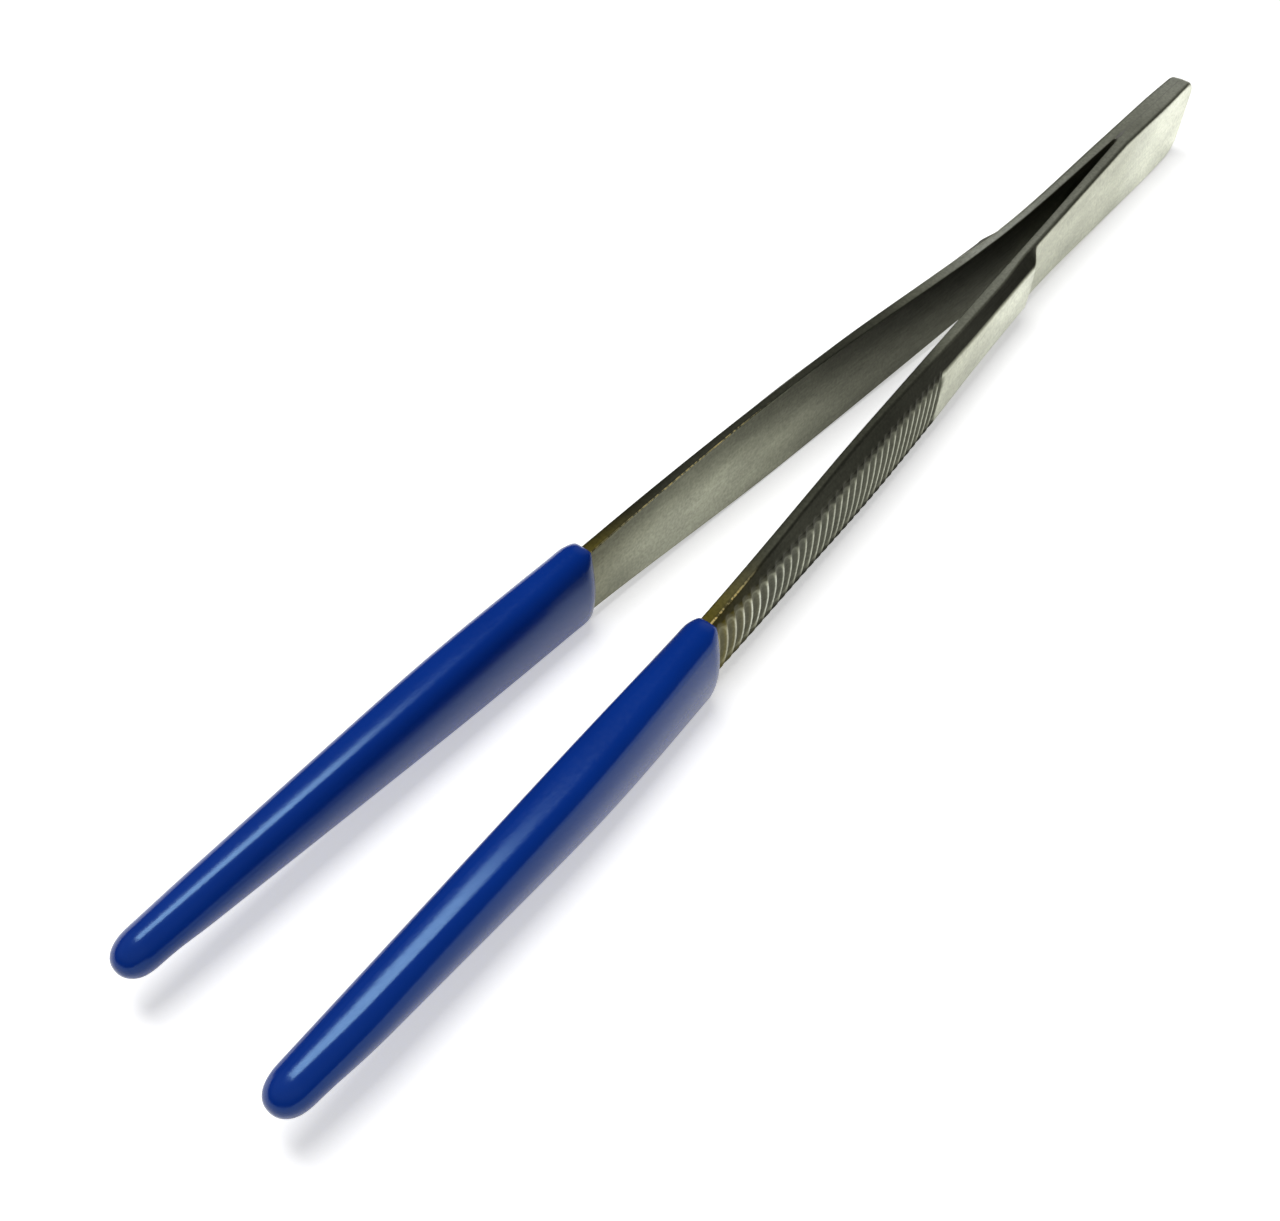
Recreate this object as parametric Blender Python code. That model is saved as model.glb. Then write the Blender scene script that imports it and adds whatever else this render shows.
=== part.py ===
"""Print tongs: two sprung stainless steel arms, welded at the heel, with vinyl dipped over their tips.

Units are metres. +X runs from the heel to the tips, +Y across the opening, +Z up the width of the arms.
The origin lies under the middle of the tongs, on the surface that their lower edges rest on.
"""
import math

import bmesh
import bpy
from mathutils import Matrix, Vector

for stale in list(bpy.data.objects):
    bpy.data.objects.remove(stale, do_unlink=True)

# Lengths of the four stretches of an arm, in order from the back of the heel
HEEL_LENGTH = 0.029
LEAF_LENGTH = 0.037
BODY_LENGTH = 0.105
COATING_LENGTH = 0.079

# Places inside those stretches
SHOULDER_RUN = 0.004
BELLY_TO_MOUTH = 0.045
GRIP_LENGTH = 0.0655
COATING_PAST_STEEL = 0.0025

# Width of an arm, along Z
HEEL_WIDTH = 0.0162
NECK_WIDTH = 0.0127
BELLY_WIDTH = 0.0162
MOUTH_WIDTH = 0.0120
STEEL_TIP_WIDTH = 0.0033

# Thickness of an arm, along Y
HEEL_THICKNESS = 0.0022
NECK_THICKNESS = 0.00175
SHOULDER_THICKNESS = 0.0034
BELLY_THICKNESS = 0.0030
MOUTH_THICKNESS = 0.0025
STEEL_TIP_THICKNESS = 0.0012

# Distance from the middle plane to the inner face of an arm
NECK_SPREAD = 0.00205
BELLY_SPREAD = 0.0067
MOUTH_SPREAD = 0.0094
STEEL_TIP_SPREAD = 0.0118

# Height of the steel tip's middle above the middle of the heel
STEEL_TIP_RISE = 0.0010

# Outer side of an arm: flat edge strips, sloping facets and a slightly crowned face between them
SHOULDER_EDGE = 0.0013
BELLY_EDGE = 0.0006
MOUTH_EDGE = 0.00135
STEEL_TIP_EDGE = 0.0008
FACE_WIDTH = 0.0100
FACE_CROWN = 0.00015
LEAF_BEVEL = 0.0004
HEEL_CORNER_RADIUS = 0.0012

# Cross ridges of the thumb grip
RIDGE_PITCH = 0.00203
RIDGE_DEPTH = 0.00035

# Dipped vinyl coating
COATING_ON_FACE = 0.0024
COATING_ON_FACE_AT_TIP = 0.0020
COATING_ON_EDGE = 0.0015
COATING_SQUARENESS = 2.6
COATING_SIDES = 24
LIP_LENGTH = 0.0016
LIP_START = 0.75
TIP_ROUNDING = 0.0045
TIP_TURN = math.radians(86.0)

# Weld seam and running clearances
WELD_THICKNESS = 0.0003
WELD_SETBACK = 0.0006
WELD_GAP = 0.0001
COATING_GAP = 0.0003
FLEXURE_GAP = 0.0003

# Spacing of the cross sections where an arm is plain, and their number where it is rounded or stepped
PLAIN_STEP = 0.004
ROUND_STEPS = 4
TIP_STEPS = 6

# Stations along an arm, measured from the back of the heel
FORK = HEEL_LENGTH
NECK = FORK + LEAF_LENGTH
SHOULDER = NECK + SHOULDER_RUN
MOUTH = NECK + BODY_LENGTH
BELLY = MOUTH - BELLY_TO_MOUTH
GRIP = MOUTH - GRIP_LENGTH
TONGS_END = MOUTH + COATING_LENGTH
STEEL_END = TONGS_END - COATING_PAST_STEEL
FLEXURE = (FORK + NECK) / 2.0

HEEL_SPREAD = WELD_THICKNESS / 2.0 + WELD_GAP
REST_HEIGHT = max(HEEL_WIDTH, BELLY_WIDTH, MOUTH_WIDTH + 2.0 * COATING_ON_EDGE) / 2.0
FRAME_SHIFT = Vector((-TONGS_END / 2.0, 0.0, REST_HEIGHT))


def smooth_curve(stations):
    """Return y(x) through the stations: cubic pieces that never overshoot a station."""
    runs = [b[0] - a[0] for a, b in zip(stations, stations[1:])]
    grades = [(b[1] - a[1]) / run for a, b, run in zip(stations, stations[1:], runs)]
    slopes = [grades[0]]
    for index in range(1, len(runs)):
        before = grades[index - 1]
        after = grades[index]
        near = 2.0 * runs[index] + runs[index - 1]
        far = runs[index] + 2.0 * runs[index - 1]
        turning = before * after <= 0.0
        slopes.append(0.0 if turning else (near + far) / (near / before + far / after))
    slopes.append(grades[-1])

    def curve(x):
        x = min(max(x, stations[0][0]), stations[-1][0])
        index = max(i for i in range(len(runs)) if i == 0 or x >= stations[i][0])
        t = (x - stations[index][0]) / runs[index]
        start = stations[index][1] * (2.0 * t**3 - 3.0 * t**2 + 1.0)
        end = stations[index + 1][1] * (3.0 * t**2 - 2.0 * t**3)
        lean = runs[index] * (slopes[index] * (t**3 - 2.0 * t**2 + t) + slopes[index + 1] * (t**3 - t**2))
        return start + end + lean

    return curve


inner_face = smooth_curve([
    (FORK, HEEL_SPREAD),
    (NECK, NECK_SPREAD),
    (BELLY, BELLY_SPREAD),
    (MOUTH, MOUTH_SPREAD),
    (STEEL_END, STEEL_TIP_SPREAD),
])
arm_width = smooth_curve([
    (FORK, HEEL_WIDTH),
    (NECK, NECK_WIDTH),
    (BELLY, BELLY_WIDTH),
    (MOUTH, MOUTH_WIDTH),
    (STEEL_END, STEEL_TIP_WIDTH),
])
arm_thickness = smooth_curve([
    (FORK, HEEL_THICKNESS),
    (NECK, NECK_THICKNESS),
    (SHOULDER, SHOULDER_THICKNESS),
    (BELLY, BELLY_THICKNESS),
    (MOUTH, MOUTH_THICKNESS),
    (STEEL_END, STEEL_TIP_THICKNESS),
])
body_edge = smooth_curve([
    (SHOULDER, SHOULDER_EDGE),
    (BELLY, BELLY_EDGE),
    (MOUTH, MOUTH_EDGE),
    (STEEL_END, STEEL_TIP_EDGE),
])
arm_rise = smooth_curve([(NECK, 0.0), (MOUTH, 0.0), (STEEL_END, STEEL_TIP_RISE)])
shoulder_step = smooth_curve([(NECK, 0.0), (SHOULDER, 1.0)])
coating_face = smooth_curve([(MOUTH, COATING_ON_FACE), (TONGS_END, COATING_ON_FACE_AT_TIP)])


def spread_out(start, end, step):
    """Evenly spaced places from start to end, no further apart than step."""
    tolerance = 1e-6
    count = max(1, math.ceil((end - start) / step - tolerance))
    return [start + (end - start) * index / count for index in range(count + 1)]


def quarter_round(distance, radius):
    """Share of the full size that a rounded end has reached at a distance from its tip."""
    reach = min(distance / radius, 1.0)
    return math.sqrt(1.0 - (1.0 - reach) ** 2)


def steel_section(x, cut=0.0, gap=0.0):
    """Seven corners of an arm's section as (y, z): inner face, edge strips, facets and crowned face."""
    half = arm_width(x) / 2.0
    if x < HEEL_CORNER_RADIUS:
        half -= HEEL_CORNER_RADIUS * (1.0 - quarter_round(x, HEEL_CORNER_RADIUS))
    thick = arm_thickness(x)
    step = shoulder_step(x)
    edge = (1.0 - step) * (thick - LEAF_BEVEL) + step * min(body_edge(x), thick - LEAF_BEVEL)
    face = (1.0 - step) * (half - LEAF_BEVEL) + step * min(FACE_WIDTH / 2.0, half - LEAF_BEVEL)
    base = inner_face(x)
    rise = arm_rise(x)
    outer = base + thick - cut + gap
    crown = outer + FACE_CROWN * step
    return [
        (base - gap, rise - half - gap),
        (base - gap, rise + half + gap),
        (base + edge + gap, rise + half + gap),
        (outer, rise + face + gap),
        (crown, rise),
        (outer, rise - face - gap),
        (base + edge + gap, rise - half - gap),
    ]


def coating_section(x):
    """Rounded section of the coating as (y, z): a superellipse about the steel inside it."""
    lip = LIP_START + (1.0 - LIP_START) * quarter_round(x - MOUTH, LIP_LENGTH)
    tip = quarter_round(TONGS_END - x, TIP_ROUNDING)
    thick = arm_thickness(x)
    middle = inner_face(x) + thick / 2.0
    depth = (thick / 2.0 + coating_face(x) * lip) * tip
    height = (arm_width(x) / 2.0 + COATING_ON_EDGE * lip) * tip
    power = 2.0 / COATING_SQUARENESS
    corners = []
    for index in range(COATING_SIDES):
        angle = 2.0 * math.pi * index / COATING_SIDES
        along = math.copysign(abs(math.cos(angle)) ** power, math.cos(angle))
        up = math.copysign(abs(math.sin(angle)) ** power, math.sin(angle))
        corners.append((middle + depth * along, arm_rise(x) + height * up))
    return corners


def loft(name, sections, side):
    """Skin a row of sections [(x, corners)] into one closed mesh, on the +Y or the -Y side."""
    shape = bmesh.new()
    rings = []
    for x, corners in sections:
        rings.append([shape.verts.new(Vector((x, side * y, z)) + FRAME_SHIFT) for y, z in corners])
    count = len(rings[0])
    for near, far in zip(rings, rings[1:]):
        for index in range(count):
            after = (index + 1) % count
            shape.faces.new((near[index], near[after], far[after], far[index]))
    shape.faces.new(rings[0])
    shape.faces.new(rings[-1])
    bmesh.ops.recalc_face_normals(shape, faces=shape.faces)
    mesh = bpy.data.meshes.new(name)
    shape.to_mesh(mesh)
    shape.free()
    return mesh


def new_collection(name):
    """A collection linked into the scene."""
    collection = bpy.data.collections.new(name)
    bpy.context.scene.collection.children.link(collection)
    return collection


def new_material(name, colour, metallic, roughness):
    """A plain Principled finish."""
    material = bpy.data.materials.new(name)
    material.use_nodes = True
    shader = material.node_tree.nodes["Principled BSDF"]
    shader.inputs["Base Color"].default_value = (*colour, 1.0)
    shader.inputs["Metallic"].default_value = metallic
    shader.inputs["Roughness"].default_value = roughness
    return material


def new_empty(name, place):
    """An axis mark that pieces hang from."""
    empty = bpy.data.objects.new(name, None)
    empty.location = place
    tongs.objects.link(empty)
    return empty


def new_piece(name, mesh, material, parent):
    """A named piece whose origin is its parent's place."""
    mesh.transform(Matrix.Translation(-parent.location))
    mesh.materials.append(material)
    piece = bpy.data.objects.new(name, mesh)
    piece.parent = parent
    tongs.objects.link(piece)
    return piece


def cut_away(piece, cutter):
    """Cut a hidden solid out of a piece."""
    cutters.objects.link(cutter)
    cutter.hide_render = True
    cutter.display_type = "WIRE"
    cut = piece.modifiers.new(cutter.name, "BOOLEAN")
    cut.operation = "DIFFERENCE"
    cut.object = cutter


def heel_places():
    """Sections of the heel and of the half of the leaf that stays with it."""
    rounding = spread_out(0.0, HEEL_CORNER_RADIUS, HEEL_CORNER_RADIUS / ROUND_STEPS)
    plain = spread_out(FORK, FLEXURE - FLEXURE_GAP / 2.0, PLAIN_STEP)
    return rounding + plain


def arm_sections():
    """Sections of the moving part of an arm, with two to each ridge, the last of them under the coating."""
    leaf = spread_out(FLEXURE + FLEXURE_GAP / 2.0, NECK, PLAIN_STEP)
    shoulder = spread_out(NECK, SHOULDER, SHOULDER_RUN / ROUND_STEPS)[1:]
    plain = spread_out(SHOULDER, GRIP, PLAIN_STEP)[1:]
    ridges = math.ceil(GRIP_LENGTH / RIDGE_PITCH)
    sections = [(x, steel_section(x)) for x in leaf + shoulder + plain]
    for index in range(ridges):
        groove = GRIP + (index + 0.5) * RIDGE_PITCH
        crest = GRIP + (index + 1.0) * RIDGE_PITCH
        sections.append((groove, steel_section(groove, cut=RIDGE_DEPTH)))
        sections.append((crest, steel_section(crest)))
    tip = spread_out(sections[-1][0], STEEL_END, PLAIN_STEP)[1:]
    return sections + [(x, steel_section(x)) for x in tip]


def coating_sections():
    """Sections of the coating: rounded lip, plain taper and rounded end."""
    lip = spread_out(MOUTH, MOUTH + LIP_LENGTH, LIP_LENGTH / ROUND_STEPS)
    plain = spread_out(MOUTH + LIP_LENGTH, TONGS_END - TIP_ROUNDING, PLAIN_STEP)[1:]
    turns = [TIP_TURN * index / TIP_STEPS for index in range(1, TIP_STEPS + 1)]
    tip = [TONGS_END - TIP_ROUNDING * (1.0 - math.sin(turn)) for turn in turns]
    return [(x, coating_section(x)) for x in lip + plain + tip]


def pocket_sections():
    """Sections of the space in the coating that the steel tip fills."""
    places = spread_out(MOUTH, STEEL_END, PLAIN_STEP)
    sections = [(x, steel_section(x, gap=COATING_GAP)) for x in places]
    before = (MOUTH - LIP_LENGTH, sections[0][1])
    after = (STEEL_END + COATING_GAP, sections[-1][1])
    return [before] + sections + [after]


def weld_mesh():
    """The fused seam: a thin plate between the two heels, as wide as they are."""
    length = HEEL_LENGTH - WELD_SETBACK
    width = HEEL_WIDTH - 2.0 * HEEL_CORNER_RADIUS
    shape = bmesh.new()
    bmesh.ops.create_cube(shape, size=1.0)
    bmesh.ops.scale(shape, vec=(length, WELD_THICKNESS, width), verts=shape.verts)
    middle = Vector((WELD_SETBACK + length / 2.0, 0.0, 0.0)) + FRAME_SHIFT
    bmesh.ops.translate(shape, vec=middle, verts=shape.verts)
    mesh = bpy.data.meshes.new("heel_weld")
    shape.to_mesh(mesh)
    shape.free()
    return mesh


tongs = new_collection("print_tongs")
cutters = new_collection("cutters")
satin_steel = new_material("satin_stainless_steel", colour=(0.33, 0.33, 0.29), metallic=1.0, roughness=0.35)
weld_steel = new_material("ground_weld", colour=(0.36, 0.35, 0.30), metallic=1.0, roughness=0.45)
blue_vinyl = new_material("blue_dipped_vinyl", colour=(0.004, 0.028, 0.27), metallic=0.0, roughness=0.28)

heel = new_empty("heel_seat", FRAME_SHIFT)
new_piece("heel_weld", weld_mesh(), weld_steel, heel)

for label, side in (("left", 1.0), ("right", -1.0)):
    leaf_middle = inner_face(FLEXURE) + arm_thickness(FLEXURE) / 2.0
    flexure = new_empty(f"{label}_flexure", Vector((FLEXURE, side * leaf_middle, 0.0)) + FRAME_SHIFT)
    flexure.parent = heel
    flexure.matrix_parent_inverse = Matrix.Translation(-heel.location)

    heel_mesh = loft(f"{label}_heel", [(x, steel_section(x)) for x in heel_places()], side)
    new_piece(f"{label}_heel", heel_mesh, satin_steel, heel)

    arm_mesh = loft(f"{label}_arm", arm_sections(), side)
    new_piece(f"{label}_arm", arm_mesh, satin_steel, flexure)

    coating_mesh = loft(f"{label}_tip_coating", coating_sections(), side)
    coating = new_piece(f"{label}_tip_coating", coating_mesh, blue_vinyl, flexure)

    pocket_mesh = loft(f"{label}_tip_pocket", pocket_sections(), side)
    cut_away(coating, bpy.data.objects.new(f"{label}_tip_pocket", pocket_mesh))
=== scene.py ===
"""Looks of the print tongs: two satin steel arms welded together at the heel, with blue vinyl dipped over their tips.

Shapes are worked out in millimetres: x from the back of the heel towards the tips, y from the middle plane
outwards, z from the middle of the heel's width upwards. They are then set into the frame, in metres.
"""

import bpy
import numpy as np
from mathutils import Matrix, Vector


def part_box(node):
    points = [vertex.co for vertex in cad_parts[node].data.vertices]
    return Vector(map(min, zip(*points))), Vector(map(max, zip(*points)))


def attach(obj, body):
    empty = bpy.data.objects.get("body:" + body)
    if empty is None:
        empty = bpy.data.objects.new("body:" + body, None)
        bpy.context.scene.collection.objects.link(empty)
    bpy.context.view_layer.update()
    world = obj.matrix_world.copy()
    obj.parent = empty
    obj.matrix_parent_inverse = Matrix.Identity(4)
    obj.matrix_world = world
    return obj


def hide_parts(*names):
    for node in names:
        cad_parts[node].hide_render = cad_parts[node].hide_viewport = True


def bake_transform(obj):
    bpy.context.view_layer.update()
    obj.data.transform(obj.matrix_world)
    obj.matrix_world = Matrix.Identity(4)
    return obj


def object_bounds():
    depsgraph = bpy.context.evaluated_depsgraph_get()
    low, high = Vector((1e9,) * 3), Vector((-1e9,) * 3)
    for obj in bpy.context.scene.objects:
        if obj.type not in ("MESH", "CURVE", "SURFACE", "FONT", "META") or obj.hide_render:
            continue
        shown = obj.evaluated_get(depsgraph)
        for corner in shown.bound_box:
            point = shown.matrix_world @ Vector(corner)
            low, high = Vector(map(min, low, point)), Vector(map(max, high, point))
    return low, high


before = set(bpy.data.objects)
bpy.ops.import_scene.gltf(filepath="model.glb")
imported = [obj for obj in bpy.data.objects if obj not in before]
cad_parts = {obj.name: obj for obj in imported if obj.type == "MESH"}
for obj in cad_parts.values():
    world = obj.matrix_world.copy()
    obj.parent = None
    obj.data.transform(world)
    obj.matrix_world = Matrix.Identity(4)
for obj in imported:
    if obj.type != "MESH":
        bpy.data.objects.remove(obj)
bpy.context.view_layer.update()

# Steel arms
# Each arm is one bar of stainless steel: forged thick for the grip, rolled thin behind it to make the spring, and
# ground along its faces. Ridges are milled across the grip; edges and facets keep the darker skin of the forging.
HEEL_BACK = -2.6
FORK = 29.0
NECK = 66.0
SHOULDER = 70.0
GRIP = 105.5
BELLY = 126.0
MOUTH = 171.0
STEEL_END = 247.5

WIDTHS = [(FORK, 16.2), (NECK, 12.7), (BELLY, 16.2), (MOUTH, 12.0), (STEEL_END, 3.3)]
THICKNESSES = [(FORK, 2.2), (NECK, 1.75), (SHOULDER, 3.4), (BELLY, 3.0), (MOUTH, 2.5), (STEEL_END, 1.2)]
SPREADS = [(FORK, 0.25), (NECK, 2.05), (BELLY, 6.7), (MOUTH, 9.4), (STEEL_END, 11.8)]
RISES = [(NECK, 0.0), (MOUTH, 0.0), (STEEL_END, 1.0)]
EDGES = [(NECK, 1.35), (SHOULDER, 1.3), (82.0, 1.8), (GRIP, 1.6), (BELLY, 1.2), (MOUTH, 1.7), (STEEL_END, 0.8)]
FACES = [(SHOULDER, 4.3), (90.0, 4.4), (GRIP, 5.1), (BELLY, 5.6), (150.0, 4.7), (MOUTH, 4.9)]
HEEL_TAPER = [(HEEL_BACK, 0.4), (FORK / 2.0, 0.0), (FORK, 0.0)]
FORK_ROUND = 0.8
FACE_CROWN = 0.15
EDGE_CROWN = 0.14
LEAF_BEVEL = 0.4
CORNER_ROUND = 0.14
STRIP_ROUND = 0.25
FACE_ROUND = 0.4
HEEL_CORNER = 4.2
HEEL_ROUNDS = {"left": 0.5, "right": 1.8}
RIDGE_PITCH = 2.03
RIDGE_DEPTH = 0.35
RIDGE_LAND = 0.09
RIDGE_WANDER = 0.025
RIDGE_LEANS = [(GRIP, 0.4), (MOUTH, -0.25)]
RIDGE_BOWS = [(GRIP, 0.1), (MOUTH, 0.9)]
GROOVE_EASE = 0.05

heel_low, heel_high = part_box("left_heel")
FRAME_PLACE = np.array([heel_low.x, 0.0, (heel_low.z + heel_high.z) / 2.0])


def in_frame(points):
    """Points in metres in the frame, from millimetres along, across and up the tongs."""
    return points / 1000.0 + FRAME_PLACE


def flowing(stations, x):
    """Smooth curve through (place, value) stations, level beyond the first and the last.

    Between two stations it is a cubic whose slopes are weighted harmonic means of the grades on both sides of each
    station, or zero where the grades differ in sign, so that it never overshoots.
    """
    places, values = np.array(stations, float).T
    x = np.clip(x, places[0], places[-1])
    runs = np.diff(places)
    grades = np.diff(values) / runs
    turning = grades[:-1] * grades[1:] <= 0.0
    before = np.where(turning, 1.0, grades[:-1])
    after = np.where(turning, 1.0, grades[1:])
    near = 2.0 * runs[1:] + runs[:-1]
    far = runs[1:] + 2.0 * runs[:-1]
    inner = np.where(turning, 0.0, (near + far) / (near / before + far / after))
    slopes = np.concatenate([grades[:1], inner, grades[-1:]])
    i = np.clip(np.searchsorted(places, x, side="right") - 1, 0, len(runs) - 1)
    t = (x - places[i]) / runs[i]
    through = values[i] * (2.0 * t**3 - 3.0 * t**2 + 1.0) + values[i + 1] * (3.0 * t**2 - 2.0 * t**3)
    return through + runs[i] * (slopes[i] * (t**3 - 2.0 * t**2 + t) + slopes[i + 1] * (t**3 - t**2))


def round_off(distance, radius):
    """What a rounded corner takes off a side at a distance from its end: radius less the circle's height there."""
    short = np.clip(radius - distance, 0.0, radius)
    return radius - np.sqrt(radius**2 - short**2)


def rounded_loop(corners, radii, steps):
    """Closed sections through rows of corners, with every corner eased and every side divided.

    A corner is a parabola that leaves its two sides one radius away from it. A side has its given number of steps,
    with one short step next to each corner, so that the shading of a flat side stays flat. The second result says
    on which side a point lies: k on side k, and numbers from k - 1 up to k on the corner before it.
    """
    ease = np.linspace(0.0, 1.0, 5)[:, None]
    before = np.roll(corners, 1, axis=1) - corners
    after = np.roll(corners, -1, axis=1) - corners
    enter = corners + radii[..., None] * before / np.linalg.norm(before, axis=-1, keepdims=True)
    leave = corners + radii[..., None] * after / np.linalg.norm(after, axis=-1, keepdims=True)
    loop = []
    sides = []
    for k, count in enumerate(steps):
        arc = (1.0 - ease) ** 2 * enter[:, None, k] + 2.0 * ease * (1.0 - ease) * corners[:, None, k]
        loop.append(arc + ease**2 * leave[:, None, k])
        sides.append(k - 1.0 + np.linspace(0.1, 0.9, len(ease)))
        share = np.concatenate([[0.02], np.linspace(0.05, 0.95, count), [0.98]])[:, None]
        last = enter[:, None, (k + 1) % len(steps)]
        loop.append(leave[:, None, k] + share * (last - leave[:, None, k]))
        sides.append(np.full(len(share), float(k)))
    return np.concatenate(loop, axis=1), np.concatenate(sides)


def arm_surface(x, heel_round):
    """Rows of section points of one arm at the places x, the side each lies on, and how deep in a groove it is.

    The section has six corners: a flat inner face, a strip on each edge, a sloping facet beyond each strip and an
    outer face. Strips and outer face are crowned by parabolas; the two heels share one crown. A groove is a parabola
    across each pitch with a narrow flat land left on the crest; it leans and bows towards the heel, and lowers whatever
    stands above its floor, by a soft minimum, so it runs out in a scallop on the facets.
    """
    step = flowing([(NECK, 0.0), (SHOULDER, 1.0)], x)
    parted = np.sqrt(np.clip((x - FORK) / FORK_ROUND, 0.0, 1.0))
    half = flowing(WIDTHS, x) / 2.0 - round_off(x - HEEL_BACK, HEEL_CORNER)
    base = flowing(SPREADS, x) * parted
    outer = flowing(SPREADS, x) + flowing(THICKNESSES, x) - flowing(HEEL_TAPER, x)
    outer = outer - round_off(x - HEEL_BACK, heel_round)
    thick = outer - base
    edge = np.where(x < NECK, thick - LEAF_BEVEL, np.minimum(flowing(EDGES, x), thick - LEAF_BEVEL))
    face = (1.0 - step) * (half - LEAF_BEVEL) + step * np.minimum(flowing(FACES, x), half - LEAF_BEVEL)
    y = np.stack([base, base, base + edge, outer, outer, base + edge], axis=1)
    z = np.stack([-half, half, half, face, -face, -half], axis=1)
    inner_round = 0.01 + (CORNER_ROUND - 0.01) * parted
    facet = np.hypot(thick - edge, half - face)
    strip_round = np.minimum(STRIP_ROUND, 0.45 * facet)
    face_round = np.minimum(FACE_ROUND, 0.5 * facet)
    radii = np.stack([inner_round, inner_round, strip_round, face_round, face_round, strip_round], axis=1)
    loop, side = rounded_loop(np.stack([y, z], axis=2), radii, (8, 2, 9, 26, 9, 2))
    y, z = loop[..., 0], loop[..., 1]

    outside = (side > 1.0) & (side < 5.0)
    along = np.broadcast_to(x[:, None], y.shape)
    crown = FACE_CROWN * step[:, None] * np.clip(1.0 - (z / face[:, None]) ** 2, 0.0, 1.0)
    y = np.where((side > 2.0) & (side < 4.0), y + crown, y)
    centre = parted * (base + edge / 2.0)
    reach = edge * (1.0 - parted / 2.0)
    swell = EDGE_CROWN * np.clip(1.0 - ((y - centre[:, None]) / reach[:, None]) ** 2, 0.0, 1.0)
    z = np.where(np.abs(side - 1.0) < 1.0, z + swell, np.where((side > 4.0) | (side < 0.0), z - swell, z))
    level = z / face[:, None]
    bend = flowing(RIDGE_LEANS, x)[:, None] * level + flowing(RIDGE_BOWS, x)[:, None] * (1.0 - level**2)
    ridge = (along - GRIP + bend) / RIDGE_PITCH + RIDGE_WANDER * np.sin(0.9 * z + 0.21 * along)
    across = np.abs(2.0 * (ridge % 1.0) - 1.0) / (1.0 - RIDGE_LAND)
    groove = np.where(ridge > 0.0, 1.0 - np.clip(across, 0.0, 1.0) ** 2, 0.0)
    floor = outer[:, None] + crown - RIDGE_DEPTH * groove
    cut = np.minimum(y, floor) - np.clip(GROOVE_EASE - np.abs(y - floor), 0.0, GROOVE_EASE) ** 2 / (4.0 * GROOVE_EASE)
    gripped = np.clip((y - floor) / GROOVE_EASE + 1.0, 0.0, 1.0) * outside * (ridge > 0.0)
    y = np.where(gripped > 0.0, cut, y)
    z = z + flowing(RISES, x)[:, None]
    return np.stack([along, y, z], axis=2), np.broadcast_to(side, y.shape), groove * gripped


def skin(name, rows, side):
    """Mesh over rows of points: quads between neighbours round and along, one face on each end, all pointing outwards.

    side is 1 for the +y arm and -1 for the mirrored one, whose rows run the other way round.
    """
    points = in_frame(rows * np.array([1.0, side, 1.0]))[:, ::side]
    index = np.arange(points.shape[0] * points.shape[1]).reshape(points.shape[:2])
    ahead = np.roll(index, -1, axis=1)
    quads = np.stack([index[:-1], index[1:], ahead[1:], ahead[:-1]], axis=-1).reshape(-1, 4)
    mesh = bpy.data.meshes.new(name)
    mesh.from_pydata(points.reshape(-1, 3), [], quads.tolist() + [index[0].tolist(), index[-1, ::-1].tolist()])
    mesh.polygons.foreach_set("use_smooth", np.ones(len(mesh.polygons), bool))
    piece = bpy.data.objects.new(name, mesh)
    bpy.context.scene.collection.objects.link(piece)
    return piece


def paint(piece, name, values, side):
    """Keep one number for every point of a piece, under a name that its material reads."""
    attribute = piece.data.attributes.new(name, "FLOAT", "POINT")
    attribute.data.foreach_set("value", values[:, ::side].astype(np.float32).ravel())


def linear(hex_colour):
    """Linear RGBA of an sRGB hex colour: the low end is divided by 12.92, the rest raised to the power 2.4."""
    srgb = np.array([int(hex_colour[i:i + 2], 16) for i in (1, 3, 5)]) / 255.0
    return (*np.where(srgb <= 0.04045, srgb / 12.92, ((srgb + 0.055) / 1.055) ** 2.4), 1.0)


def add_node(tree, kind, inputs, **settings):
    """Add a node. settings are its own options; inputs gives each socket a value, or another node's output."""
    node = tree.nodes.new(kind)
    for option, value in settings.items():
        setattr(node, option, value)
    for socket, value in inputs.items():
        if isinstance(value, bpy.types.NodeSocket):
            tree.links.new(value, node.inputs[socket])
        else:
            node.inputs[socket].default_value = value
    return node


# Satin stainless steel: the ground faces shine pale along their fine lengthwise grain, the forged skin of edges and
# facets is darker, the floors of the ridges are dull, and a brown tint has crept out from under the vinyl. The inner
# faces carry painted shade where the arms close in. The edges next to the vinyl carry a broken bright line of painted
# highlight, on edges rubbed bare in places.
GRAIN_LENGTH = 0.008
GRAIN_WIDTH = 0.00035  # drawn about three times as coarse as the real grain, so that it shows
PATCH_LENGTH = 0.012
PATCH_WIDTH = 0.004
SPECK = 0.0005

satin_steel = bpy.data.materials.new("satin_stainless_steel")
satin_steel.use_nodes = True
tree = satin_steel.node_tree
shader = tree.nodes["Principled BSDF"]
place = add_node(tree, "ShaderNodeTexCoord", {}).outputs["Object"]
# How far each point is ground pale, with painted shade mixed in on the inner faces
ground_and_shade = add_node(tree, "ShaderNodeAttribute", {}, attribute_name="ground_and_shade").outputs["Fac"]
groove = add_node(tree, "ShaderNodeAttribute", {}, attribute_name="groove").outputs["Fac"]
tint = add_node(tree, "ShaderNodeAttribute", {}, attribute_name="tint").outputs["Fac"]
rub_and_glint = add_node(tree, "ShaderNodeAttribute", {}, attribute_name="rub_and_glint").outputs["Fac"]
stretch = (1.0 / GRAIN_LENGTH, 1.0 / GRAIN_WIDTH, 1.0 / GRAIN_WIDTH)
drawn = add_node(tree, "ShaderNodeMapping", {"Vector": place, "Scale": stretch}).outputs["Vector"]
grain = add_node(tree, "ShaderNodeTexNoise", {"Vector": drawn, "Scale": 1.0, "Detail": 3.0}).outputs["Fac"]
spread = (1.0 / PATCH_LENGTH, 1.0 / PATCH_WIDTH, 1.0 / PATCH_WIDTH)
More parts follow.
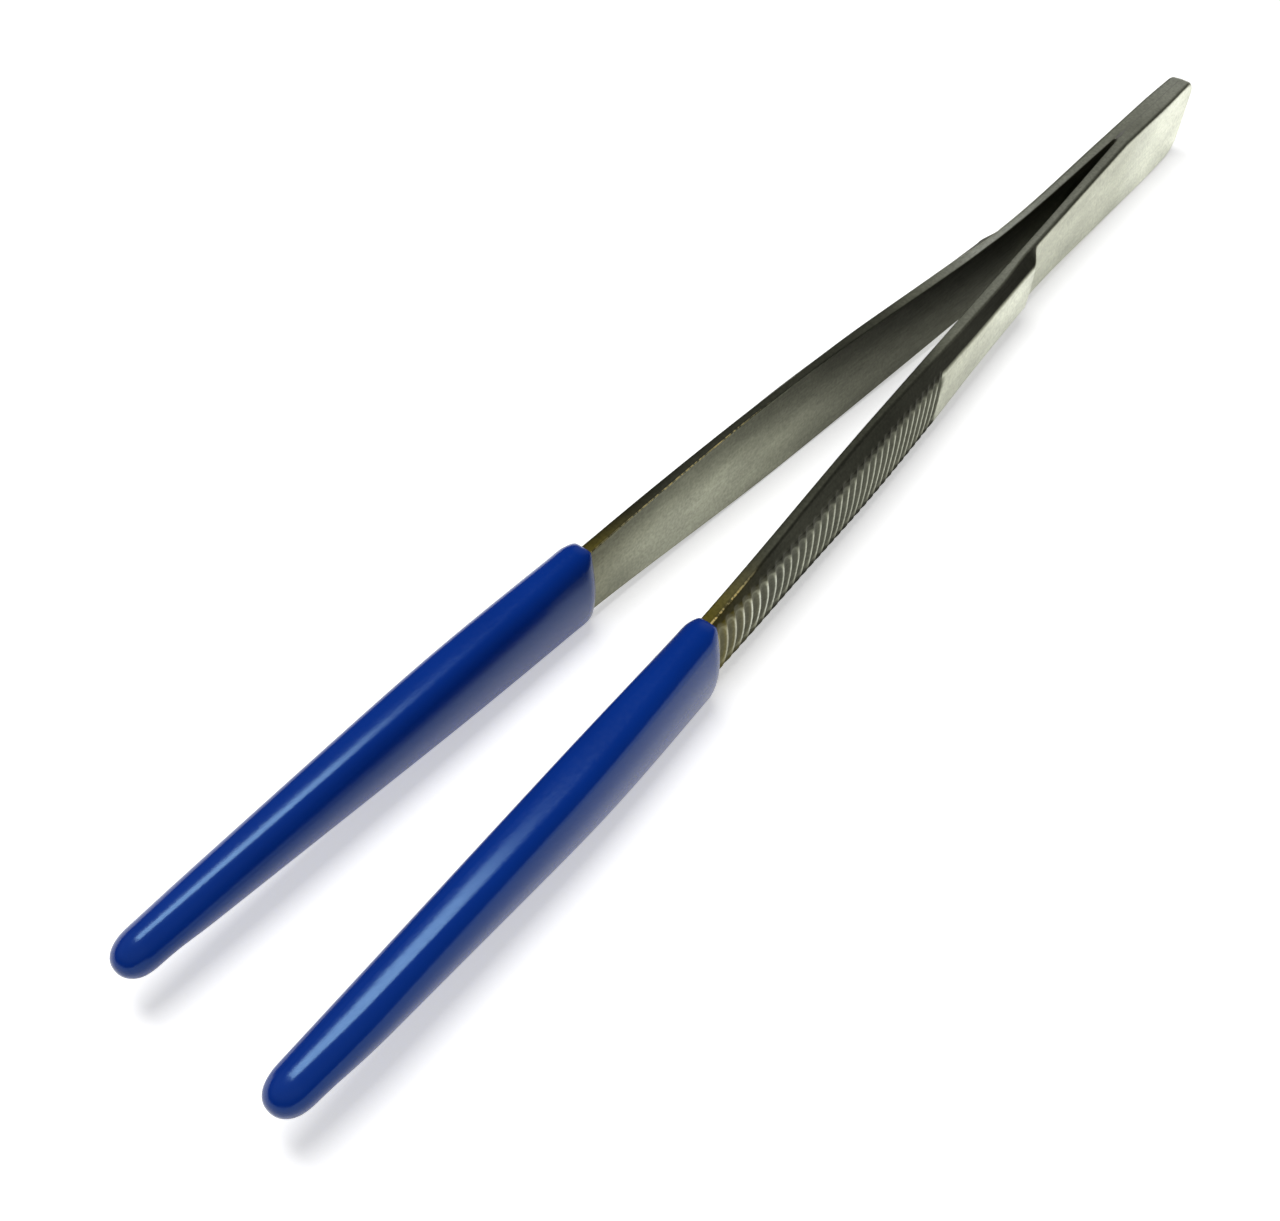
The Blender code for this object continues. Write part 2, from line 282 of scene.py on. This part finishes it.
smeared = add_node(tree, "ShaderNodeMapping", {"Vector": place, "Scale": spread}).outputs["Vector"]
patches = add_node(tree, "ShaderNodeTexNoise", {"Vector": smeared, "Scale": 1.0, "Detail": 5.0}).outputs["Fac"]
specks = add_node(tree, "ShaderNodeTexNoise", {"Vector": place, "Scale": 1.0 / SPECK, "Detail": 2.0}).outputs["Fac"]
cleaned = add_node(tree, "ShaderNodeMapRange", {"Value": ground_and_shade, 1: 0.3, 2: 0.8, 3: 0.0, 4: 1.0}).outputs[0]
pale = add_node(tree, "ShaderNodeMix", {0: cleaned, 6: linear("#F2F5D8"), 7: linear("#F7FAEA")}, data_type="RGBA")
body = add_node(tree, "ShaderNodeMix", {0: ground_and_shade, 6: linear("#14130A"), 7: pale.outputs[2]}, data_type="RGBA")
worn = add_node(tree, "ShaderNodeMapRange", {"Value": groove, 1: 0.0, 2: 0.4, 3: 0.0, 4: 1.0}).outputs[0]
dull = add_node(tree, "ShaderNodeMix", {0: worn, 6: body.outputs[2], 7: linear("#55564A")}, data_type="RGBA")
stain = add_node(tree, "ShaderNodeMix", {0: patches, 6: linear("#3A3410"), 7: linear("#857828")}, data_type="RGBA")
stained = add_node(tree, "ShaderNodeMix", {0: tint, 6: dull.outputs[2], 7: stain.outputs[2]}, data_type="RGBA")
blotch = add_node(tree, "ShaderNodeMapRange", {"Value": patches, 1: 0.3, 2: 0.7, 3: 0.82, 4: 1.1}).outputs[0]
fleck = add_node(tree, "ShaderNodeMapRange", {"Value": specks, 1: 0.3, 2: 0.7, 3: 0.8, 4: 1.12}).outputs[0]
shade = add_node(tree, "ShaderNodeMath", {0: blotch, 1: fleck}, operation="MULTIPLY").outputs[0]
used = add_node(tree, "ShaderNodeMix", {0: 1.0, 6: stained.outputs[2], 7: shade}, data_type="RGBA",
                blend_type="MULTIPLY")
# Painted highlight: a broken bright line (#FFF0B4) along the edges next to the vinyl, on edges rubbed bare and made
# rougher
broken = add_node(tree, "ShaderNodeMapRange", {"Value": specks, 1: 0.4, 2: 0.55, 3: 0.1, 4: 1.0}).outputs[0]
bare_and_glint = add_node(tree, "ShaderNodeMath", {0: rub_and_glint, 1: broken}, operation="MULTIPLY").outputs[0]
rubbed_and_glinted = add_node(tree, "ShaderNodeMix", {0: bare_and_glint, 6: used.outputs[2], 7: linear("#FFF0B4")}, data_type="RGBA")
tree.links.new(rubbed_and_glinted.outputs[2], shader.inputs["Base Color"])
gloss = add_node(tree, "ShaderNodeMapRange", {"Value": grain, 1: 0.3, 2: 0.7, 3: 0.26, 4: 0.38}).outputs[0]
forged = add_node(tree, "ShaderNodeMapRange", {"Value": ground_and_shade, 1: 0.0, 2: 0.5, 3: 0.25, 4: 0.0}).outputs[0]
dulled = add_node(tree, "ShaderNodeMath", {0: gloss, 1: forged}, operation="ADD").outputs[0]
rough = add_node(tree, "ShaderNodeMath", {0: bare_and_glint, 1: 0.6, 2: dulled}, operation="MULTIPLY_ADD").outputs[0]
tree.links.new(rough, shader.inputs["Roughness"])
scratches = add_node(tree, "ShaderNodeBump", {"Height": grain, "Strength": 0.15, "Distance": 0.00005})
tree.links.new(scratches.outputs["Normal"], shader.inputs["Normal"])
shader.inputs["Metallic"].default_value = 1.0
shader.inputs["Specular Tint"].default_value = linear("#F3F3EC")

GROUND_FACE = [(14.0, 1.0), (FORK, 0.69), (NECK, 0.63), (SHOULDER, 0.82), (GRIP, 0.6), (150.0, 0.6), (160.0, 1.0)]
# Inner faces: the share drops low from the shoulder to the belly, where the arms close in, as painted shade between
# them
GROUND_AND_SHADE_INSIDE = [(FORK, 0.6), (SHOULDER, 0.09), (GRIP, 0.14), (BELLY, 0.28), (150.0, 0.4), (MOUTH, 0.29)]
GROUND_STRIP = {
    "left": [(HEEL_BACK, 0.7), (FORK, 0.5), (SHOULDER, 0.58), (96.0, 0.45), (114.0, 0.1), (MOUTH, 0.07)],
    "right": [(HEEL_BACK, 0.75), (FORK, 0.5), (SHOULDER, 0.8), (GRIP, 0.1), (MOUTH, 0.02)],
}
GROUND_FACET = [(HEEL_BACK, 0.25), (NECK, 0.15), (SHOULDER, 0.06), (84.0, 0.02), (BELLY, 0.06), (MOUTH, 0.04)]
INSIDE_SHADE = 0.42
# Painted highlight on the edges next to the vinyl, rubbed bare in places: the side it lies on, how far either way, and
# its strength along the arm
RUB_AND_GLINT = {
    "left": (1.5, 0.2, [(159.0, 0.0), (166.0, 0.9), (MOUTH, 1.0)]),
    "right": (0.5, 0.25, [(130.0, 0.0), (142.0, 0.8), (156.0, 0.8), (166.0, 0.3)]),
}
TINTED = {"left": 0.9, "right": 0.5}
RIDGE_FADE = 1.6
RIDGE_DARK = 0.09
TINT_REACH = 16.0

along = np.unique(np.concatenate([
    HEEL_BACK + HEEL_CORNER * (1.0 - np.cos(np.linspace(0.1, np.pi / 2.0, 14))),
    np.linspace(HEEL_BACK + HEEL_CORNER, FORK, 24),
    FORK + FORK_ROUND * np.linspace(0.0, 1.0, 8) ** 2,
    np.linspace(FORK + 1.0, NECK, 50),
    np.linspace(NECK, SHOULDER, 24),
    np.linspace(SHOULDER, GRIP, 36),
    np.arange(GRIP, MOUTH + 3.0, RIDGE_PITCH / 14.0),
    np.linspace(MOUTH + 3.0, STEEL_END, 30),
]).round(4))
for label, side in (("left", 1), ("right", -1)):
    rows, lies_on, deep = arm_surface(along, HEEL_ROUNDS[label])
    strip_share = flowing(GROUND_STRIP[label], along)
    facet_share = flowing(GROUND_FACET, along)
    face_share = flowing(GROUND_FACE, along)
    inside_share = flowing(GROUND_AND_SHADE_INSIDE, along)
    by_side = np.stack([strip_share, inside_share, strip_share, facet_share, face_share, facet_share, strip_share,
                        strip_share], axis=1)
    before = np.floor(lies_on[0]).astype(int) + 1
    past = lies_on[0] % 1.0
    ground_and_shade_share = by_side[:, before] * (1.0 - past) + by_side[:, before + 1] * past
    height = np.abs(rows[..., 2])
    high = flowing([(0.0, 0.0), (0.7, 1.0)], rows[..., 2] / height.max(axis=1)[:, None])
    ground_and_shade_share = np.where(lies_on == 0.0, ground_and_shade_share * (1.0 - INSIDE_SHADE * high), ground_and_shade_share)
    corner, reach, rub_and_glint_stations = RUB_AND_GLINT[label]
    rub_and_glint_share = flowing(rub_and_glint_stations, along)[:, None] * (np.abs(lies_on[0] - corner) < reach)
    inset = height[:, lies_on[0] == 3.0].max(axis=1)[:, None] - height
    clean = np.clip(inset / RIDGE_FADE, 0.0, 1.0)
    fade = np.where(along[:, None] > GRIP, RIDGE_DARK + (1.0 - RIDGE_DARK) * clean, 1.0) * (1.0 - deep * clean)
    ground_and_shade_share = np.where(np.abs(lies_on - 3.0) < 1.0, ground_and_shade_share * fade, ground_and_shade_share)
    near_vinyl = np.clip(1.0 - (MOUTH - rows[..., 0]) / TINT_REACH, 0.0, 1.0) ** 1.5
    tinted = np.select([lies_on == 0.0, np.abs(lies_on - 3.0) == 1.0], [0.15, 0.45], TINTED[label])
    tint_share = near_vinyl * tinted * (1.0 - 0.5 * deep)
    arm = skin(f"{label}_steel_arm", rows, side)
    paint(arm, "ground_and_shade", ground_and_shade_share, side)
    paint(arm, "groove", deep * clean, side)
    paint(arm, "tint", tint_share, side)
    paint(arm, "rub_and_glint", rub_and_glint_share, side)
    arm.data.materials.append(satin_steel)
    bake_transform(arm)
    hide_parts(f"{label}_heel", f"{label}_arm")

# Weld seam
# The heels are laid face to face, fused along the seam between them and ground flush, so that the seam hardly
# shows on the edges; a small pale bead closes it where the fork begins.
SEAM_HALF = 0.3
SEAM_PROUD = 0.004
BEAD_HALF = 0.65
BEAD_PROUD = 0.05
BEAD_LENGTH = 2.6
BEAD_SETBACK = 1.2
SEAM_END_ROUND = 0.5


def seam_surface(x, turn):
    """Rows of points of the weld: a tall narrow rounded bar, wider and prouder towards its end in the fork.

    Each section is a superellipse, as high as the heel, which a half-round shrinks at the fork.
    """
    bead = np.exp(-(((x - FORK + BEAD_SETBACK) / (BEAD_LENGTH / 2.0)) ** 2))
    close = np.sqrt(1.0 - np.clip((x - FORK) / SEAM_END_ROUND, 0.0, 1.0) ** 2)
    deep = (SEAM_HALF + (BEAD_HALF - SEAM_HALF) * bead) * close
    tall = flowing(WIDTHS, x) / 2.0 - round_off(x - HEEL_BACK, HEEL_CORNER) + EDGE_CROWN
    tall = tall + SEAM_PROUD + BEAD_PROUD * bead
    y = deep[:, None] * np.sign(np.cos(turn)) * np.abs(np.cos(turn)) ** 0.5
    z = tall[:, None] * np.sign(np.sin(turn)) * np.abs(np.sin(turn)) ** 0.125
    return np.stack([np.broadcast_to(x[:, None], y.shape), y, z], axis=2)


# Ground weld metal: the same steel as the edges, a little finer for having been melted and dressed
RIPPLE = 0.0012

ground_weld = bpy.data.materials.new("ground_weld_bead")
ground_weld.use_nodes = True
tree = ground_weld.node_tree
shader = tree.nodes["Principled BSDF"]
place = add_node(tree, "ShaderNodeTexCoord", {}).outputs["Object"]
ripple = add_node(tree, "ShaderNodeTexNoise", {"Vector": place, "Scale": 1.0 / RIPPLE, "Detail": 3.0}).outputs["Fac"]
weld_colour = add_node(tree, "ShaderNodeMix", {0: ripple, 6: linear("#94938A"), 7: linear("#AFAEA4")}, data_type="RGBA")
tree.links.new(weld_colour.outputs[2], shader.inputs["Base Color"])
weld_rough = add_node(tree, "ShaderNodeMapRange", {"Value": ripple, 1: 0.3, 2: 0.7, 3: 0.28, 4: 0.4}).outputs[0]
tree.links.new(weld_rough, shader.inputs["Roughness"])
shader.inputs["Metallic"].default_value = 1.0

seam_along = np.concatenate([np.linspace(0.6, FORK - 4.0, 20), np.linspace(FORK - 3.8, FORK + 0.49, 36)])
seam = skin("heel_weld_seam", seam_surface(seam_along, np.linspace(0.0, 2.0 * np.pi, 48, endpoint=False)), 1)
seam.data.materials.append(ground_weld)
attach(seam, "heel")
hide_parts("heel_weld")

# Vinyl coatings
# Each tip is dipped in liquid vinyl and baked. The coat is thick and soft-edged, grips the steel without glue, has a
# rounded lip at its mouth, and swells a little under the tip, where the last drop set.
TONGS_END = 250.0
COAT_ON_FACE = [(MOUTH, 2.1), (200.0, 2.4), (TONGS_END, 2.0)]
COAT_OUTSIDE = {
    "left": [(MOUTH, 0.1), (205.0, 1.1), (235.0, 1.1), (TONGS_END, 0.4)],
    "right": [(MOUTH, 0.1), (205.0, 0.7), (235.0, 0.6), (TONGS_END, 0.3)],
}
COAT_ON_EDGE = [(MOUTH, 1.5), (TONGS_END, 1.3)]
COAT_CORNERS = [(MOUTH, 2.0), (200.0, 1.3), (TONGS_END, 1.1)]
SIDE_BOW = 1.4
TOP_BOW = 0.25
LIP = 2.6
TIP_ROUND = 4.0
TIP_POWER = 2.3
DROP_PLACE = 248.3
DROP_LENGTH = 1.6
DROP_SAG = 0.35
NARROW_PLACE = 243.5
NARROW_LENGTH = 2.6
NARROW_RISE = 0.4


def coat_surface(x, share, close, outside):
    """Rows of points of one coating: rounded rectangles with bowed sides about the steel, thicker on its outer face.

    share is how much of the coat's thickness each row has, from none under the lip to all of it; close shrinks the
    rows of the rounded end; outside gives the stations of what the outer face has more than the inner one. A side's
    bow is a parabola between its corners. The drop is a bell curve that lowers the under side at the tip, and another
    bell curve narrows the coat behind it.
    """
    thick = flowing(THICKNESSES, x) + flowing(outside, x)
    middle = flowing(SPREADS, x) + thick / 2.0
    full = np.clip(share, 0.05, 1.0)
    side_bow = SIDE_BOW * full
    top_bow = TOP_BOW * full
    deep = thick / 2.0 + flowing(COAT_ON_FACE, x) * share - side_bow
    tall = flowing(WIDTHS, x) / 2.0 + flowing(COAT_ON_EDGE, x) * share - top_bow
    y = np.stack([-deep, -deep, deep, deep], axis=1)
    z = np.stack([-tall, tall, tall, -tall], axis=1)
    radii = np.repeat(np.minimum(flowing(COAT_CORNERS, x) * full, 0.9 * deep)[:, None], 4, axis=1)
    loop, lies_on = rounded_loop(np.stack([y, z], axis=2), radii, (20, 14, 20, 14))
    y = loop[..., 0] / deep[:, None]
    z = loop[..., 1] / tall[:, None]
    bowed_y = loop[..., 0] + side_bow[:, None] * y * (1.0 - z**2)
    bowed_z = loop[..., 1] + top_bow[:, None] * z * (1.0 - y**2)
    sag = DROP_SAG * np.exp(-(((x - DROP_PLACE) / DROP_LENGTH) ** 2))
    sag = sag - NARROW_RISE * np.exp(-(((x - NARROW_PLACE) / NARROW_LENGTH) ** 2))
    bowed_z = bowed_z + sag[:, None] * np.clip(z, -1.0, 0.0)
    y = middle[:, None] + bowed_y * close[:, None]
    z = flowing(RISES, x)[:, None] + bowed_z * close[:, None]
    return np.stack([np.broadcast_to(x[:, None], y.shape), y, z], axis=2)


# Dipped vinyl: deep blue plasticised PVC, evenly coloured, with the soft gloss and the faint grain of a baked skin
CLOUD = 0.012
PEEL = 0.0005

blue_vinyl = bpy.data.materials.new("blue_dipped_vinyl")
blue_vinyl.use_nodes = True
tree = blue_vinyl.node_tree
shader = tree.nodes["Principled BSDF"]
place = add_node(tree, "ShaderNodeTexCoord", {}).outputs["Object"]
cloud = add_node(tree, "ShaderNodeTexNoise", {"Vector": place, "Scale": 1.0 / CLOUD, "Detail": 3.0}).outputs["Fac"]
peel = add_node(tree, "ShaderNodeTexNoise", {"Vector": place, "Scale": 1.0 / PEEL, "Detail": 2.0}).outputs["Fac"]
vinyl_colour = add_node(tree, "ShaderNodeMix", {0: cloud, 6: linear("#062E86"), 7: linear("#083696")}, data_type="RGBA")
tree.links.new(vinyl_colour.outputs[2], shader.inputs["Base Color"])
vinyl_rough = add_node(tree, "ShaderNodeMapRange", {"Value": peel, 1: 0.3, 2: 0.7, 3: 0.15, 4: 0.22}).outputs[0]
tree.links.new(vinyl_rough, shader.inputs["Roughness"])
skin_bump = add_node(tree, "ShaderNodeBump", {"Height": peel, "Strength": 0.1, "Distance": 0.00005})
tree.links.new(skin_bump.outputs["Normal"], shader.inputs["Normal"])
shader.inputs["IOR"].default_value = 1.48
shader.inputs["Specular Tint"].default_value = linear("#A9DBFF")

lip_turn = np.linspace(0.0, np.pi / 2.0, 10)
tip_turn = np.linspace(0.0, 1.0, 24)[1:]
tip_along = 1.0 - (1.0 - tip_turn) ** 2
x = np.concatenate([
    [MOUTH + 3.0],
    MOUTH + LIP * (1.0 - np.cos(lip_turn)),
    np.linspace(MOUTH + LIP, TONGS_END - TIP_ROUND, 90)[1:],
    TONGS_END - TIP_ROUND + TIP_ROUND * tip_along,
])
share = np.concatenate([[-0.1], np.sin(lip_turn), np.ones(len(x) - 1 - len(lip_turn))])
tip_close = np.clip(1.0 - tip_along**TIP_POWER, 1e-4, 1.0) ** (1.0 / TIP_POWER)
close = np.concatenate([np.ones(len(x) - len(tip_turn)), tip_close])
for label, side in (("left", 1), ("right", -1)):
    coat = skin(f"{label}_vinyl_coat", coat_surface(x, share, close, COAT_OUTSIDE[label]), side)
    coat.data.materials.append(blue_vinyl)
    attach(coat, f"{label}_arm")
    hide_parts(f"{label}_tip_coating")

# Camera
# It stands above the tips, beside the left arm, and looks down along the tongs at the heel.
ELEVATION = np.radians(49.06)
HEADING = np.radians(-127.43)
ROLL = np.radians(1.29)
AIM = in_frame(np.array([170.76, -0.82, 0.0]))
DISTANCE = 0.1925
FOCAL_PIXELS = 1394.2
IMAGE_WIDTH = 1280.0

rightward = np.array([np.cos(HEADING), -np.sin(HEADING), 0.0])
forward = np.array([np.sin(HEADING), np.cos(HEADING), 0.0])
upward = np.array([0.0, 0.0, 1.0])
look = forward * np.cos(ELEVATION) - upward * np.sin(ELEVATION)
top = forward * np.sin(ELEVATION) + upward * np.cos(ELEVATION)
camera_x = rightward * np.cos(ROLL) + top * np.sin(ROLL)
camera_y = top * np.cos(ROLL) - rightward * np.sin(ROLL)
lens = bpy.data.cameras.new("photograph")
lens.sensor_width = 36.0
lens.lens = lens.sensor_width * FOCAL_PIXELS / IMAGE_WIDTH
lens.clip_start = 0.01
camera = bpy.data.objects.new("photograph", lens)
bpy.context.scene.collection.objects.link(camera)
turned = Matrix((camera_x, camera_y, -look)).transposed().to_4x4()
camera.matrix_world = Matrix.Translation(Vector(AIM - look * DISTANCE)) @ turned
bpy.context.scene.camera = camera

# Table and light
# A white table under a tent that glows above the tips and is dim behind the heel, with one soft lamp overhead.
FLOOR_HALF = 2.0
LIFT = 0.48
MIRROR_LIFT = 0.39

lowest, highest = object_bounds()
floor_mesh = bpy.data.meshes.new("white_table")
floor_corners = np.array([[-1.0, -1.0, 0.0], [1.0, -1.0, 0.0], [1.0, 1.0, 0.0], [-1.0, 1.0, 0.0]]) * FLOOR_HALF
floor_mesh.from_pydata(floor_corners + np.array([0.0, 0.0, lowest.z]), [], [[0, 1, 2, 3]])
table = bpy.data.objects.new("white_table", floor_mesh)
bpy.context.scene.collection.objects.link(table)
white_table = bpy.data.materials.new("white_table")
white_table.use_nodes = True
tree = white_table.node_tree
tree.nodes.remove(tree.nodes["Principled BSDF"])
rays = add_node(tree, "ShaderNodeLightPath", {}).outputs
shown = add_node(tree, "ShaderNodeMath", {0: rays["Is Camera Ray"], 1: LIFT}, operation="MULTIPLY").outputs[0]
bounced = add_node(tree, "ShaderNodeMath", {0: rays["Is Glossy Ray"], 1: rays["Is Transmission Ray"]},
                   operation="MAXIMUM").outputs[0]
mirrored = add_node(tree, "ShaderNodeMath", {0: bounced, 1: MIRROR_LIFT}, operation="MULTIPLY").outputs[0]
lift = add_node(tree, "ShaderNodeMath", {0: shown, 1: mirrored}, operation="MAXIMUM").outputs[0]
matt = add_node(tree, "ShaderNodeBsdfDiffuse", {"Color": linear("#FAFAFA")}).outputs[0]
glow = add_node(tree, "ShaderNodeEmission", {"Color": (1.0, 1.0, 1.0, 1.0), "Strength": lift}).outputs[0]
lifted = add_node(tree, "ShaderNodeAddShader", {0: matt, 1: glow})
tree.links.new(lifted.outputs[0], tree.nodes["Material Output"].inputs["Surface"])
table.data.materials.append(white_table)

HEEL_SIDE = Vector((-0.9, -0.1, 0.42)).normalized()

world = bpy.data.worlds.new("studio")
bpy.context.scene.world = world
world.use_nodes = True
tree = world.node_tree
sky = add_node(tree, "ShaderNodeTexCoord", {}).outputs["Generated"]
parts = add_node(tree, "ShaderNodeSeparateXYZ", {"Vector": sky}).outputs
above = add_node(tree, "ShaderNodeMapRange", {"Value": parts["Z"], 1: 0.15, 2: 0.6, 3: 0.0, 4: 0.3},
                 interpolation_type="SMOOTHSTEP").outputs[0]
before_tips = add_node(tree, "ShaderNodeMapRange", {"Value": parts["X"], 1: -0.35, 2: 0.15, 3: 0.0, 4: 1.0},
                       interpolation_type="SMOOTHSTEP").outputs[0]
tent = add_node(tree, "ShaderNodeMath", {0: above, 1: before_tips}, operation="MULTIPLY").outputs[0]
behind = add_node(tree, "ShaderNodeVectorMath", {0: sky, 1: HEEL_SIDE}, operation="DOT_PRODUCT").outputs["Value"]
dim = add_node(tree, "ShaderNodeMapRange", {"Value": behind, 1: 0.8, 2: 0.99, 3: 0.05, 4: 0.35},
               interpolation_type="SMOOTHSTEP").outputs[0]
bright = add_node(tree, "ShaderNodeMath", {0: tent, 1: dim}, operation="ADD").outputs[0]
tree.nodes["Background"].inputs["Color"].default_value = (1.0, 1.0, 1.0, 1.0)
tree.links.new(bright, tree.nodes["Background"].inputs["Strength"])

LAMP_SIDE = Vector((-0.015, -0.15, 0.96)).normalized()
LAMP_HEIGHT = 0.7
LAMP_WATTS = 3.3

lamp = bpy.data.lights.new("overhead_lamp", "AREA")
lamp.shape = "RECTANGLE"
lamp.size = 0.25
lamp.size_y = 0.4
lamp.energy = LAMP_WATTS
hung = bpy.data.objects.new("overhead_lamp", lamp)
bpy.context.scene.collection.objects.link(hung)
hung.location = Vector(AIM) + LAMP_SIDE * LAMP_HEIGHT
hung.rotation_euler = LAMP_SIDE.to_track_quat("Z", "Y").to_euler()

bpy.context.scene.view_settings.view_transform = "Standard"
